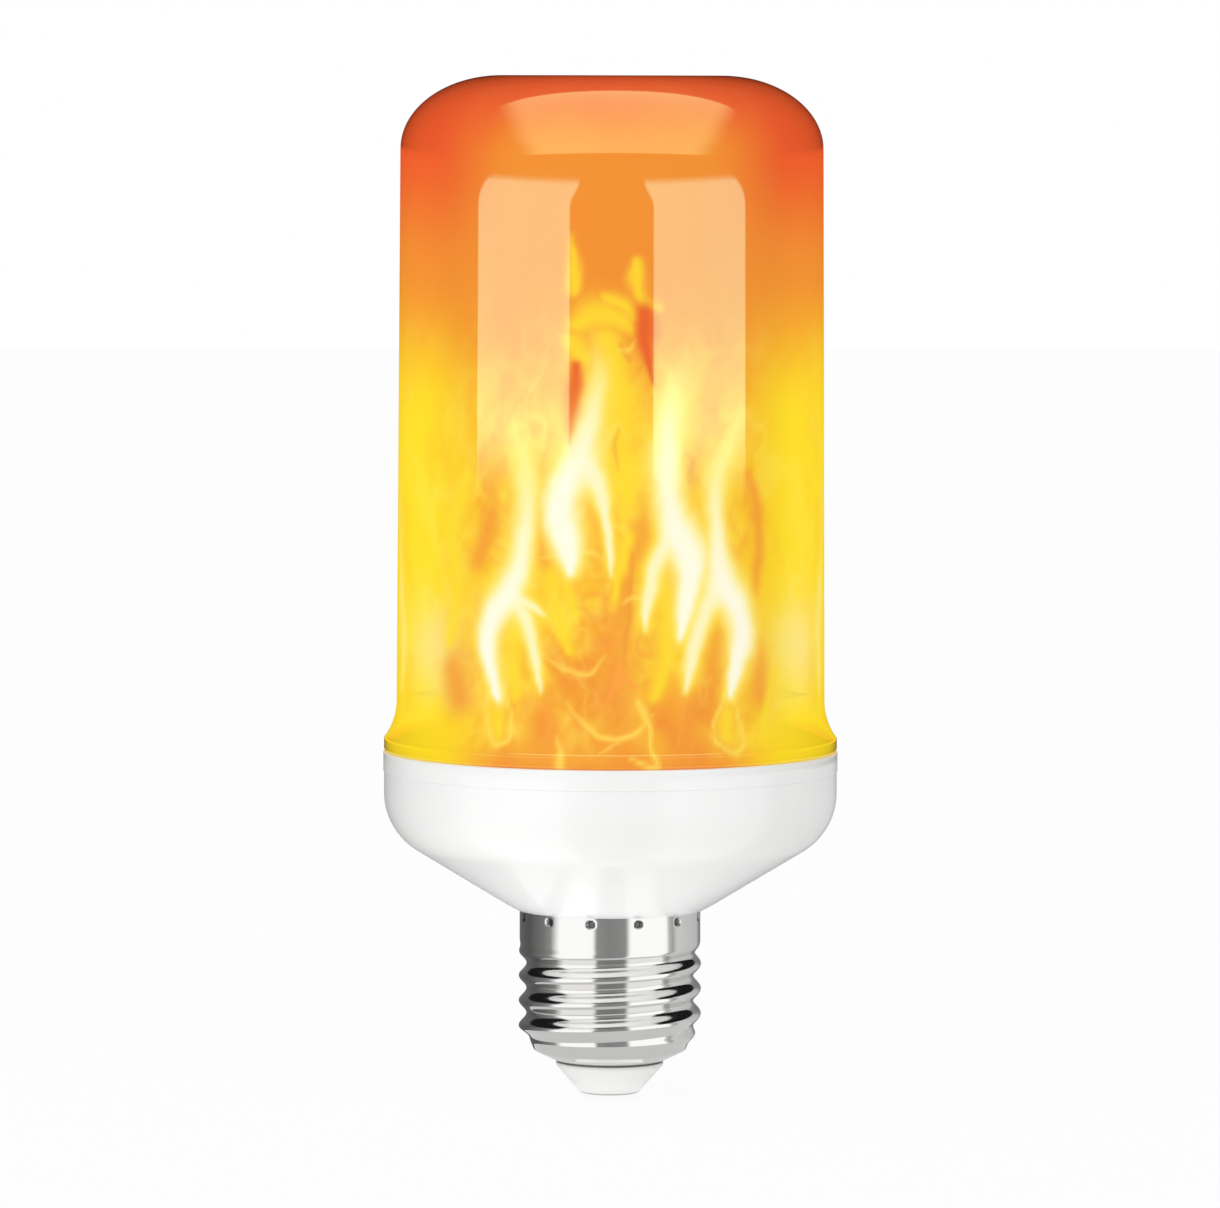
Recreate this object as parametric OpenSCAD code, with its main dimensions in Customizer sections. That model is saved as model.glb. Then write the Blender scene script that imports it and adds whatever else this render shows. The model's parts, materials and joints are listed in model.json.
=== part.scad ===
// Flame effect LED lamp with an Edison screw cap.
// Millimetres, +Z up. The origin is the centre of the contact's lower face, and +Z runs along the lamp's
// axis towards the top of the cover. Every height is worked out upwards from there, piece on piece.

/* [Contact and insulator] */
// Radius of the contact's head
contact_head_r = 2.2; // [1.8:0.1:3]
// How far the head stands below the insulator's foot
contact_stand = 0.35; // [0.2:0.05:0.6]
// Thickness of the contact's head
contact_head_h = 0.65; // [0.5:0.05:1]
// Radius of the contact's pin
contact_pin_r = 0.9; // [0.7:0.05:1.1]
// Length of the contact's pin above its head
contact_pin_h = 9.3; // [8.5:0.05:10.5]
// Radius of the insulator's foot
insulator_foot_r = 4.4; // [3.5:0.1:5]
// Radius of the insulator's cone where it meets the screw shell
insulator_top_r = 7.75; // [7.6:0.05:8.2]
// Height of the insulator's cone below the screw shell
insulator_h = 4.5; // [4:0.05:4.9]
// Thickness of the insulator's flange inside the screw shell
insulator_flange_h = 1.5; // [1:0.1:2]

/* [Screw shell] */
// Radius over the thread's crests
thread_crest_r = 13.15; // [13.05:0.01:13.25]
// Depth of the rolled thread
thread_depth = 1.1; // [0.9:0.05:1.2]
// Distance from one turn of the thread to the next
thread_pitch = 3.629; // [3.55:0.001:3.7]
// Radius of the plain collar above the thread
collar_r = 13.05; // [12.95:0.01:13.1]
// Height of the plain collar above the thread's run-out
collar_h = 4.2; // [3.6:0.1:5]
// Height from the shell's lip to the lower edge of the plain collar
thread_zone_h = 17.85; // [17.5:0.05:18.5]
// Thickness of the shell's metal
shell_wall = 0.33; // [0.3:0.01:0.36]
// Radius of the hole in the shell's lower end
shell_hole_r = 7.45; // [7.3:0.05:7.5]
// Number of punch marks that fix the shell to the housing
dimple_count = 12; // [6:1:16]
// Depth of a punch mark
dimple_depth = 0.4; // [0.3:0.05:0.5]
// Height of the punch marks above the lower edge of the plain collar
dimple_up = 3.3; // [2:0.1:3.3]

/* [Housing] */
// Outer radius of the housing's rim
housing_r = 32.7; // [32:0.1:35]
// Height of the housing from the cap to its rim
housing_h = 23; // [22:0.5:26]
// Thickness of the housing's wall
housing_wall = 1.8; // [1.4:0.1:2.2]
// Outer radius of the housing's flat underside
housing_foot_r = 13.7; // [13.5:0.1:15]
// Slope of the housing's lower face, in degrees from level
housing_slope = 31.4; // [28:0.2:34]
// Radius of the round between the lower face and the side
housing_corner_r = 9.5; // [6:0.1:10]
// Height of the raised band at the rim
band_h = 2.9; // [2:0.1:4]
// How far the band stands proud of the side
band_step = 0.1; // [0.05:0.05:0.4]
// Width of the inner ledge that carries the deck
ledge_w = 1; // [0.6:0.1:1.6]
// Radius of the neck's bore
neck_bore_r = 10; // [9.6:0.1:10.4]
// Length of the neck's thin lower part, inside the thread
neck_low_h = 6; // [5:0.1:7]

/* [Cover] */
// Height of the cover above its joint with the housing
cover_h = 96.75; // [92:0.25:102]
// Thickness of the cover's wall
cover_wall = 1.5; // [1.2:0.1:1.8]
// How far the cover's wall stands inside its flange, just above the flare
cover_inset = 1.8; // [1.2:0.1:3]
// How much narrower the wall gets up to the shoulder
cover_taper = 0.5; // [0.2:0.1:2]
// Width of the rounded shoulder
shoulder_w = 14.5; // [10:0.5:18]
// Height of the rounded shoulder
shoulder_h = 10.5; // [8:0.5:14]
// Height of the flare at the cover's foot
flare_h = 7.1; // [6:0.1:8.5]
// How far the flare stands inside the housing's rim
rim_reveal = 0.1; // [0:0.05:0.4]
// Height of the flare's upright edge
flare_edge_h = 1.5; // [0.8:0.1:2]
// Length of the spigot that plugs into the housing
spigot_h = 4.2; // [3.6:0.1:5]
// Thickness of the spigot
spigot_wall = 1.3; // [1:0.1:1.6]
// Height of the snap bead round the spigot
bead = 0.3; // [0.2:0.05:0.4]

/* [Light column] */
// Thickness of the deck
deck_t = 1.6; // [1.2:0.1:2]
// Gap between the former's foot flange and the heads of the deck's screws
column_gap = 2.1; // [1:0.1:4]
// Thickness of the former's wall
former_wall = 1.2; // [1:0.1:1.6]
// Height of the former above the deck
former_h = 80; // [74:1:86]
// Thickness of the former's foot flange
former_flange_h = 1.4; // [1:0.1:2]
// Width of the former's foot flange beyond its tube
former_flange_w = 2.5; // [2:0.1:4]
// Thickness of the flexible circuit round the former
sheet_t = 0.25; // [0.15:0.05:0.4]
// Width of the seam between the circuit's two edges, in degrees
sheet_seam = 5; // [3:1:10]
// Number of upright rows of LEDs round the column
led_columns = 12; // [8:1:14]
// Number of LEDs in each upright row
led_rows = 8; // [6:1:9]
// Width, height and thickness of one LED package
led_size = [2.8, 3.5, 0.7];
// Radius of an LED's window
led_window_r = 1.1; // [0.8:0.1:1.3]
// Thickness of the board on top of the column
top_board_t = 1; // [0.8:0.1:1.6]
// Number of LEDs on top of the column
top_led_count = 3; // [3:1:8]
// Radius of the ring they stand in
top_led_ring_r = 8.5; // [7:0.5:12]

/* [Driver] */
// Gap between the driver board and the posts that carry the deck
board_gap = 1; // [0.5:0.1:2]
// Thickness of the driver board
board_t = 1.2; // [0.8:0.1:1.6]
// Height of the driver board above the housing's underside
board_up = 7.8; // [7:0.1:8.4]
// Radius of the filter capacitor's can
filter_cap_r = 4; // [3:0.25:4.25]
// Length of the filter capacitor's can
filter_cap_h = 12; // [9:0.5:13]
// Radius of the output capacitor's can
output_cap_r = 3.15; // [2.5:0.05:3.5]
// Length of the output capacitor's can
output_cap_h = 6.6; // [5:0.1:7]
// Radius of the choke's flanges
choke_r = 4; // [3:0.25:4.5]
// Height of the choke
choke_h = 6.2; // [5:0.1:7]
// Length of the fusible resistor's body
fuse_h = 9; // [7:0.5:10]
// Radius of the fusible resistor's body at its ends
fuse_r = 1.6; // [1.2:0.1:1.8]
// Radius of an insulated lead
lead_r = 0.55; // [0.4:0.05:0.6]

/* [Fits] */
// Gap between pieces that plug into each other
fit = 0.15; // [0.1:0.01:0.2]
// Gap between faces that all but touch
seat = 0.05; // [0.02:0.01:0.08]
// Gap round a pin or screw in its hole
pin_fit = 0.06; // [0.04:0.01:0.1]

/* [Hidden] */

// Heights, from the contact upwards
lip_z = contact_stand + insulator_h + seat;
collar_z = lip_z + thread_zone_h;
shell_top_z = collar_z + collar_h;
housing_z = shell_top_z + seat;
rim_z = housing_z + housing_h;
cover_z = rim_z + fit;
cover_top_z = cover_z + cover_h;
spigot_end_z = cover_z - spigot_h;
deck_top_z = spigot_end_z - fit;
deck_z = deck_top_z - deck_t;
ledge_z = deck_z - seat;
former_z = deck_top_z + seat;
column_top_z = deck_top_z + former_h;
board_z = housing_z + board_up;
board_top_z = board_z + board_t;
contact_top_z = contact_head_h + contact_pin_h;
bead_z = spigot_end_z + 1.3;
dimple_z = collar_z + dimple_up;

// The screw shell
root_r = thread_crest_r - thread_depth;
crest_first_z = lip_z + 3.34;
runout_r = collar_r - 0.09;
shell_sides = 40;
rows_per_turn = 8;
cone_rise = 1.75;
cone_end_r = 11;
cone_slope = atan(cone_rise / (cone_end_r - shell_hole_r));
cone_thick = shell_wall / cos(cone_slope);
dimple_r = 0.75;
dimple_phase = 18;

// The insulator
insulator_flange_r = cone_end_r - 0.6;
insulator_neck_r = shell_hole_r - fit;

// The housing
side_r = housing_r - band_step;
rim_in_r = housing_r - housing_wall;
ledge_r = rim_in_r - ledge_w;
floor_rise = housing_wall / cos(housing_slope);
inner_corner_room = (ledge_z - 0.3 - floor_z(ledge_r, floor_rise)) / tan((90 - housing_slope) / 2);
inner_corner_r = min(housing_corner_r - housing_wall, inner_corner_room);
neck_r = collar_r - shell_wall - pin_fit;
neck_low_r = root_r - shell_wall - fit;
neck_step_z = collar_z - 0.4;
neck_end_z = neck_step_z - neck_low_h;
deck_post_r = 3;
deck_post_ring_r = ledge_r - deck_post_r - 2.8;
deck_post_first = 60;
board_r = deck_post_ring_r - deck_post_r - board_gap;
board_post_ring_r = board_r - 3;
board_post_r = 2.2;
board_pin_r = 0.9;
screw_r = 1.1;
screw_head_r = 2.4;
screw_head_h = 1.5;
screw_h = 7;
screw_hole_h = screw_h + 1;

// The cover
flange_r = housing_r - rim_reveal;
cover_foot_r = flange_r - cover_inset;
cover_top_r = cover_foot_r - cover_taper;
spigot_r = rim_in_r - fit;
flare_top_z = cover_z + flare_h;
flare_tip = 0.5;

// The light column
former_flange_r = deck_post_ring_r - screw_head_r - column_gap;
former_r = former_flange_r - former_flange_w;
former_in_r = former_r - former_wall;
hook_angle = 16;
hook_out_r = former_r - 0.2;
hook_barb = 0.7;
rebate_w = 0.6;
top_board_r = former_in_r + rebate_w - fit;
sheet_in_r = former_r + seat;
sheet_r = sheet_in_r + sheet_t;
sheet_z = former_z + former_flange_h + seat;
sheet_h = former_h - former_flange_h - 2;
led_margin = 5;
led_step = (sheet_h - 2 * led_margin) / (led_rows - 1);
deck_hole_r = 6;

// Where the parts of the driver stand on its board
filter_cap_at = [filter_cap_r + lead_r + 0.35, 0];
output_cap_at = [11.5, 7];
choke_at = [9.5, -7.5];
bridge_at = [-11.5, 6.5];
driver_chip_at = [-12.5, -2];
controller_at = [0.5, -13];
diode_at = [0.5, 13];
fuse_at = [-6, 0];
led_lead_x = 2.5;
neutral_lead_x = 8.6;
neutral_bend_r = 1.6;
neutral_z = crest_first_z + thread_pitch * 2.75;

$fn = 72;

// Points along part of an ellipse in the profile plane
function arc(centre, rx, rz, from, to, steps) = [
    for (i = [0 : steps])
        let (a = from + (to - from) * i / steps)
            [centre[0] + rx * cos(a), centre[1] + rz * sin(a)]
];

// Smooth step from 0 to 1
function fade(t) = let (u = min(1, max(0, t))) u * u * (3 - 2 * u);

// Height of the housing's conical face at a radius, raised by some thickness
function floor_z(r, rise) = housing_z + rise + (r - housing_foot_r) * tan(housing_slope);

// The round between the housing's conical face and an upright side
function corner(side, rise, radius, from, to) =
    let (tangent = radius * tan((90 - housing_slope) / 2))
    arc([side - radius, floor_z(side, rise) + tangent], radius, radius, from, to, 7);

// The flare at the cover's foot: a small round, then a hollow round that runs out into the wall
function flare() =
    let (
        reach = flange_r - flare_tip * (1 - cos(60)) - cover_foot_r,
        rise = flare_h - flare_edge_h - flare_tip * sin(60),
        radius = (reach * reach + rise * rise) / (2 * reach),
        sweep = asin(rise / radius)
    )
    concat(
        arc([flange_r - flare_tip, cover_z + flare_edge_h], flare_tip, flare_tip, 0, 30, 1),
        arc([cover_foot_r + radius, flare_top_z], radius, radius, 180 + sweep, 180, 6)
    );

// Radius of the screw shell's outer face at a height and an angle. The wave is the rolled thread; it
// grows out of the cone at the bottom and runs out into the collar at the top.
function thread_r(z, a) =
    let (
        wave = cos(360 * (z - crest_first_z) / thread_pitch - a),
        base = lookup(z, [
            [lip_z + cone_rise, cone_end_r],
            [lip_z + cone_rise + 1.2, cone_end_r + 0.45],
            [lip_z + cone_rise + 3.2, root_r]
        ]),
        grown = base + thread_depth * (0.5 + 0.5 * wave) * fade((z - lip_z - 2.4) / 2.4),
        out = fade((z - collar_z + 2.8) / 2.7)
    )
    grown * (1 - out) + runout_r * out;

module diffuser_cover()
    color([0.98, 0.72, 0.2])
    rotate_extrude() polygon(concat(
        [
            [spigot_r - spigot_wall, spigot_end_z],
            [spigot_r - 0.3, spigot_end_z],
            [spigot_r, spigot_end_z + 0.5],
            [spigot_r, bead_z - bead],
            [spigot_r + bead, bead_z],
            [spigot_r, bead_z + bead],
            [spigot_r, cover_z],
            [flange_r, cover_z]
        ],
        flare(),
        arc([cover_top_r - shoulder_w, cover_top_z - shoulder_h], shoulder_w, shoulder_h, 0, 90, 12),
        [[0, cover_top_z], [0, cover_top_z - cover_wall]],
        arc([cover_top_r - shoulder_w, cover_top_z - shoulder_h],
            shoulder_w - cover_wall, shoulder_h - cover_wall, 90, 0, 10),
        [
            [cover_foot_r - cover_wall, flare_top_z],
            [spigot_r - spigot_wall, cover_z + cover_wall]
        ]
    ));

module housing_wall_body()
    rotate_extrude() polygon(concat(
        [
            [neck_bore_r, neck_end_z],
            [neck_low_r - 0.4, neck_end_z],
            [neck_low_r, neck_end_z + 0.4],
            [neck_low_r, neck_step_z],
            [neck_r, neck_step_z + 1.2],
            [neck_r, housing_z],
            [housing_foot_r - 0.3, housing_z],
            [housing_foot_r + 0.2, floor_z(housing_foot_r + 0.2, 0)]
        ],
        corner(side_r, 0, housing_corner_r, housing_slope - 90, 0),
        [
            [side_r, rim_z - band_h - band_step],
            [housing_r, rim_z - band_h],
            [housing_r, rim_z - 0.3],
            [housing_r - 0.3, rim_z],
            [rim_in_r, rim_z],
            [rim_in_r, bead_z + bead + fit],
            [rim_in_r + bead, bead_z],
            [rim_in_r, bead_z - bead - fit],
            [rim_in_r, ledge_z],
            [ledge_r, ledge_z]
        ],
        corner(ledge_r, floor_rise, inner_corner_r, 0, housing_slope - 90),
        [[neck_bore_r, floor_z(neck_bore_r, floor_rise)]]
    ));

// The space above the middle of the housing's floor, which cuts the posts' lower ends
module above_floor()
    rotate_extrude() polygon([
        [0, floor_z(housing_foot_r, floor_rise / 2)],
        [housing_foot_r, floor_z(housing_foot_r, floor_rise / 2)],
        [side_r, floor_z(side_r, floor_rise / 2)],
        [side_r, rim_z],
        [0, rim_z]
    ]);

module at_deck_posts()
    for (i = [0 : 2])
        rotate([0, 0, deck_post_first + 120 * i])
        translate([deck_post_ring_r, 0, 0])
        children();

module at_board_posts()
    for (i = [0 : 2])
        rotate([0, 0, 120 * i])
        translate([board_post_ring_r, 0, 0])
        children();

// An upright column from the level of the housing's underside to some height
module column(radius, top_z)
    translate([0, 0, housing_z])
    cylinder(r = radius, h = top_z - housing_z);

// Balls round the collar, from which its punch marks and the neck's pockets are cut
module punches(radius)
    for (i = [0 : dimple_count - 1])
        rotate([0, 0, dimple_phase + 360 * i / dimple_count])
        translate([collar_r - dimple_depth + dimple_r, 0, dimple_z])
        sphere(radius, $fn = 24);

module base_housing()
    color([0.95, 0.95, 0.94])
    difference() {
        union() {
            housing_wall_body();
            intersection() {
                union() {
                    at_deck_posts() column(deck_post_r, ledge_z);
                    at_board_posts() column(board_post_r, board_z - seat);
                    at_board_posts() column(board_pin_r, board_top_z + 0.8);
                }
                above_floor();
            }
        }
        at_deck_posts()
            translate([0, 0, ledge_z - screw_hole_h])
            cylinder(r = screw_r + pin_fit, h = screw_hole_h + 1);
        intersection() {
            punches(dimple_r + shell_wall + fit);
            translate([0, 0, collar_z]) cylinder(r = collar_r, h = collar_h - 0.05);
        }
        rotate([0, 0, 90])
        translate([neck_bore_r - 1.5, -lead_r - fit, neck_end_z - 1])
        cube([4, 2 * (lead_r + fit), neutral_z + lead_r + fit - neck_end_z + 1]);
    }

// The rolled part of the shell, outer face and inner face, from the lip up into the collar
module rolled_shell() {
    low_z = lip_z + cone_rise + 0.8;
    high_z = collar_z + 0.25;
    steps = ceil((high_z - low_z) * rows_per_turn / thread_pitch);
    rows = [for (i = [0 : steps]) low_z + (high_z - low_z) * i / steps];
    n = shell_sides;
    m = steps + 2;
    outer = concat(
        [for (j = [0 : n - 1]) [shell_hole_r, 360 * j / n, lip_z]],
        [for (j = [0 : n - 1]) [cone_end_r, 360 * j / n, lip_z + cone_rise]],
        [for (z = rows) for (j = [0 : n - 1]) [thread_r(z, 360 * j / n), 360 * j / n, z]]
    );
    inner = concat(
        [for (j = [0 : n - 1]) [shell_hole_r, 360 * j / n, lip_z + cone_thick]],
        [for (j = [0 : n - 1])
            [cone_end_r - 0.82 * shell_wall, 360 * j / n, lip_z + cone_rise + 0.7 * shell_wall]],
        [for (z = rows) for (j = [0 : n - 1]) [thread_r(z, 360 * j / n) - shell_wall, 360 * j / n, z]]
    );
    points = [for (p = concat(outer, inner)) [p[0] * cos(p[1]), p[0] * sin(p[1]), p[2]]];
    k = n * (m + 1);
    faces = concat(
        [for (i = [0 : m - 1]) for (j = [0 : n - 1]) let (e = (j + 1) % n)
            [i * n + j, i * n + n + j, i * n + n + e]],
        [for (i = [0 : m - 1]) for (j = [0 : n - 1]) let (e = (j + 1) % n)
            [i * n + j, i * n + n + e, i * n + e]],
        [for (i = [0 : m - 1]) for (j = [0 : n - 1]) let (e = (j + 1) % n)
            [k + i * n + j, k + i * n + n + e, k + i * n + n + j]],
        [for (i = [0 : m - 1]) for (j = [0 : n - 1]) let (e = (j + 1) % n)
            [k + i * n + j, k + i * n + e, k + i * n + n + e]],
        [for (j = [0 : n - 1]) let (e = (j + 1) % n) [j, e, k + e]],
        [for (j = [0 : n - 1]) let (e = (j + 1) % n) [j, k + e, k + j]],
        [for (j = [0 : n - 1]) let (e = (j + 1) % n) [m * n + e, m * n + j, k + m * n + j]],
        [for (j = [0 : n - 1]) let (e = (j + 1) % n) [m * n + e, k + m * n + j, k + m * n + e]]
    );
    polyhedron(points, faces);
}

module collar()
    difference() {
        union() {
            translate([0, 0, collar_z])
            rotate_extrude()
            translate([collar_r - shell_wall, 0])
            square([shell_wall, collar_h]);
            intersection() {
                punches(dimple_r + shell_wall);
                translate([0, 0, collar_z + 0.2]) cylinder(r = collar_r - shell_wall / 2, h = collar_h - 0.4);
            }
        }
        punches(dimple_r);
    }

module screw_shell()
    color([0.8, 0.8, 0.81])
    union() {
        rolled_shell();
        collar();
    }

module cap_insulator() {
    foot_z = contact_stand;
    under = lip_z + cone_thick + 2 * seat;
    slope = tan(cone_slope);
    flange_z = under + (insulator_flange_r - shell_hole_r) * slope;
    color([0.9, 0.91, 0.9])
    rotate_extrude() polygon([
        [contact_pin_r + pin_fit, contact_head_h + seat],
        [contact_head_r + fit, contact_head_h + seat],
        [contact_head_r + fit, foot_z],
        [insulator_foot_r - 0.4, foot_z],
        [insulator_foot_r, foot_z + 0.25],
        [insulator_top_r, foot_z + insulator_h - 0.35],
        [insulator_top_r, foot_z + insulator_h],
        [insulator_neck_r, foot_z + insulator_h],
        [insulator_neck_r, under + (insulator_neck_r - shell_hole_r) * slope],
        [insulator_flange_r, flange_z],
        [insulator_flange_r, flange_z + insulator_flange_h - 0.3],
        [insulator_flange_r - 0.3, flange_z + insulator_flange_h],
        [3, flange_z + insulator_flange_h],
        [2.6, contact_top_z - 0.8],
        [contact_pin_r + pin_fit, contact_top_z - 0.8]
    ]);
}

module centre_contact()
    color([0.78, 0.78, 0.78])
    rotate_extrude() polygon([
        [0, 0],
        [contact_head_r - 0.7, 0],
        [contact_head_r - 0.25, 0.1],
        [contact_head_r, 0.35],
        [contact_head_r, contact_head_h - 0.1],
        [contact_head_r - 0.1, contact_head_h],
        [contact_pin_r, contact_head_h],
        [contact_pin_r, contact_top_z - 0.2],
        [contact_pin_r - 0.2, contact_top_z],
        [0, contact_top_z]
    ]);

module carrier_deck()
    color([0.93, 0.93, 0.92])
    difference() {
        translate([0, 0, deck_z]) cylinder(r = rim_in_r - fit, h = deck_t);
        translate([0, 0, deck_z - 1]) cylinder(r = deck_hole_r, h = deck_t + 2);
        at_deck_posts() translate([0, 0, deck_z - 1]) cylinder(r = screw_r + pin_fit, h = deck_t + 2);
        for (i = [0 : 2])
            rotate([0, 0, 120 * i - hook_angle / 2 - 1.5])
            translate([0, 0, deck_z - 1])
            rotate_extrude(angle = hook_angle + 3)
            translate([former_in_r - fit, 0])
            square([hook_out_r - former_in_r + 2 * fit, deck_t + 2]);
    }

module deck_screws()
    color([0.7, 0.71, 0.72])
    at_deck_posts()
    difference() {
        rotate_extrude($fn = 36) polygon([
            [0, deck_top_z + seat + screw_head_h],
            [0, deck_top_z + seat - screw_h],
            [0.3, deck_top_z + seat - screw_h],
            [screw_r, deck_top_z + seat - screw_h + 1.2],
            [screw_r, deck_top_z + seat],
            [screw_head_r, deck_top_z + seat],
            [screw_head_r, deck_top_z + seat + 0.7],
            [screw_head_r - 0.6, deck_top_z + seat + screw_head_h]
        ]);
        translate([0, 0, deck_top_z + seat + screw_head_h]) cube([2.4, 0.6, 1.6], center = true);
        translate([0, 0, deck_top_z + seat + screw_head_h]) cube([0.6, 2.4, 1.6], center = true);
    }

module led_former()
    color([0.96, 0.96, 0.95])
    union() {
        rotate_extrude() polygon([
            [former_in_r, former_z],
            [former_flange_r, former_z],
            [former_flange_r, former_z + former_flange_h - 0.3],
            [former_flange_r - 0.3, former_z + former_flange_h],
            [former_r, former_z + former_flange_h],
            [former_r, column_top_z],
            [former_in_r + rebate_w, column_top_z],
            [former_in_r + rebate_w, column_top_z - top_board_t - seat],
            [former_in_r, column_top_z - top_board_t - seat]
        ]);
        for (i = [0 : 2])
            rotate([0, 0, 120 * i - hook_angle / 2])
            rotate_extrude(angle = hook_angle)
            polygon([
                [former_in_r + 0.1, former_z + 1],
                [former_in_r + 0.1, deck_z - seat - 1.2],
                [hook_out_r, deck_z - seat - 1.2],
                [hook_out_r + hook_barb, deck_z - seat - 0.3],
                [hook_out_r + hook_barb, deck_z - seat],
                [hook_out_r, deck_z - seat],
                [hook_out_r, former_z + 1]
            ]);
    }

module led_sheet()
    color([0.93, 0.93, 0.9])
    translate([0, 0, sheet_z])
    rotate([0, 0, 90 + sheet_seam / 2])
    rotate_extrude(angle = 360 - sheet_seam)
    translate([sheet_in_r, 0])
    square([sheet_t, sheet_h]);

// One LED package, its window facing along +Z; the cut corner marks one pole
module led()
    linear_extrude(led_size[2])
    polygon([
        [-led_size[0] / 2, -led_size[1] / 2],
        [led_size[0] / 2, -led_size[1] / 2],
        [led_size[0] / 2, led_size[1] / 2 - 0.6],
        [led_size[0] / 2 - 0.6, led_size[1] / 2],
        [-led_size[0] / 2, led_size[1] / 2]
    ]);

module side_leds()
    color([1, 0.78, 0.25])
    for (i = [0 : led_columns - 1])
        for (k = [0 : led_rows - 1])
            rotate([0, 0, 360 * (i + 0.5) / led_columns - 90])
            translate([sheet_r + seat, 0, sheet_z + led_margin + led_step * k])
            rotate([90, 0, 90])
            led();

module top_board()
    color([0.93, 0.93, 0.9])
    translate([0, 0, column_top_z - top_board_t])
    cylinder(r = top_board_r, h = top_board_t);

module top_leds()
    color([1, 0.78, 0.25])
    for (i = [0 : top_led_count - 1])
        rotate([0, 0, 360 * i / top_led_count + 90])
        translate([top_led_ring_r, 0, column_top_z + seat])
        led();

module driver_board()
    color([0.12, 0.38, 0.2])
    difference() {
        translate([0, 0, board_z]) cylinder(r = board_r, h = board_t);
        at_board_posts() translate([0, 0, board_z - 1]) cylinder(r = board_pin_r + pin_fit, h = board_t + 2);
    }

// A can capacitor standing on its rubber end, with a rolled groove near that end
module capacitor(radius, height)
    rotate_extrude($fn = 48) polygon([
        [0, 0],
        [radius - 0.5, 0],
        [radius, 0.4],
        [radius, 1.2],
        [radius - 0.35, 1.6],
        [radius, 2],
        [radius, height - 0.5],
        [radius - 0.5, height],
        [0, height]
    ]);

module filter_capacitor()
    color([0.13, 0.15, 0.2])
    translate([filter_cap_at[0], filter_cap_at[1], board_z - seat])
    rotate([180, 0, 0])
    capacitor(filter_cap_r, filter_cap_h);

module output_capacitor()
    color([0.13, 0.15, 0.2])
    translate([output_cap_at[0], output_cap_at[1], board_top_z + seat])
    capacitor(output_cap_r, output_cap_h);

module choke_core()
    color([0.22, 0.21, 0.2])
    translate([choke_at[0], choke_at[1], board_top_z + seat])
    rotate_extrude($fn = 48) polygon([
        [0, 0],
        [choke_r, 0],
        [choke_r, 1],
        [choke_r / 2, 1],
        [choke_r / 2, choke_h - 1],
        [choke_r, choke_h - 1],
        [choke_r, choke_h],
        [0, choke_h]
    ]);

module choke_winding()
    color([0.72, 0.4, 0.18])
    translate([choke_at[0], choke_at[1], board_top_z + 2 * seat + 1])
    rotate_extrude($fn = 48)
    translate([choke_r / 2 + seat, 0])
    square([choke_r / 2 - seat - 0.3, choke_h - 2 - 2 * seat]);

module fuse_resistor()
    color([0.35, 0.5, 0.42])
    translate([fuse_at[0], fuse_at[1], board_top_z + seat])
    union() {
        translate([0, -fuse_h / 2, fuse_r])
        rotate([-90, 0, 0])
        rotate_extrude($fn = 36) polygon([
            [0, 0],
            [fuse_r - 0.4, 0],
            [fuse_r, 0.4],
            [fuse_r, 1.6],
            [fuse_r - 0.25, 2.1],
            [fuse_r - 0.25, fuse_h - 2.1],
            [fuse_r, fuse_h - 1.6],
            [fuse_r, fuse_h - 0.4],
            [fuse_r - 0.4, fuse_h],
            [0, fuse_h]
        ]);
        translate([-0.3, -fuse_h / 2 - 1.5, fuse_r - 0.3]) cube([0.6, fuse_h + 3, 0.6]);
        translate([-0.3, -fuse_h / 2 - 1.5, 0]) cube([0.6, 0.6, fuse_r]);
        translate([-0.3, fuse_h / 2 + 0.9, 0]) cube([0.6, 0.6, fuse_r]);
    }

// A moulded package on flat legs; the legs leave along its two long sides
module package(size, legs, leg_w)
    union() {
        translate([-size[0] / 2, -size[1] / 2, 0.15]) cube([size[0], size[1], size[2] - 0.15]);
        for (i = [0 : legs - 1])
            translate([size[0] * ((i + 0.5) / legs - 0.5) - leg_w / 2, -size[1] / 2 - 0.9, 0])
            cube([leg_w, size[1] + 1.8, 0.3]);
    }

module bridge_rectifier()
    color([0.12, 0.12, 0.13])
    translate([bridge_at[0], bridge_at[1], board_top_z + seat])
    package([5, 4.2, 1.6], 2, 0.8);

module driver_chip()
    color([0.12, 0.12, 0.13])
    translate([driver_chip_at[0], driver_chip_at[1], board_top_z + seat])
    package([4.9, 3.9, 1.5], 4, 0.45);

module flame_controller()
    color([0.12, 0.12, 0.13])
    translate([controller_at[0], controller_at[1], board_top_z + seat])
    package([9, 3.9, 1.5], 7, 0.45);

module output_diode()
    color([0.12, 0.12, 0.13])
    translate([diode_at[0], diode_at[1], board_top_z + seat])
    package([2.6, 4.3, 2.2], 1, 1.5);

module live_lead()
    color([0.75, 0.1, 0.1])
    translate([0, 0, contact_top_z + seat])
    cylinder(r = lead_r, h = board_z - contact_top_z - 2 * seat, $fn = 24);

module neutral_lead()
    color([0.12, 0.12, 0.12])
    rotate([0, 0, 90])
    union() {
        translate([neutral_lead_x, 0, neutral_z + neutral_bend_r])
        cylinder(r = lead_r, h = board_z - seat - neutral_z - neutral_bend_r, $fn = 24);
        translate([neutral_lead_x + neutral_bend_r, 0, neutral_z + neutral_bend_r])
        rotate([90, 0, 0])
        rotate([0, 0, 180])
        rotate_extrude(angle = 90) translate([neutral_bend_r, 0]) circle(r = lead_r, $fn = 24);
        translate([neutral_lead_x + neutral_bend_r, 0, neutral_z])
        rotate([0, 90, 0])
        cylinder(r = lead_r, h = neck_low_r - neutral_lead_x - neutral_bend_r, $fn = 24);
    }

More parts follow.
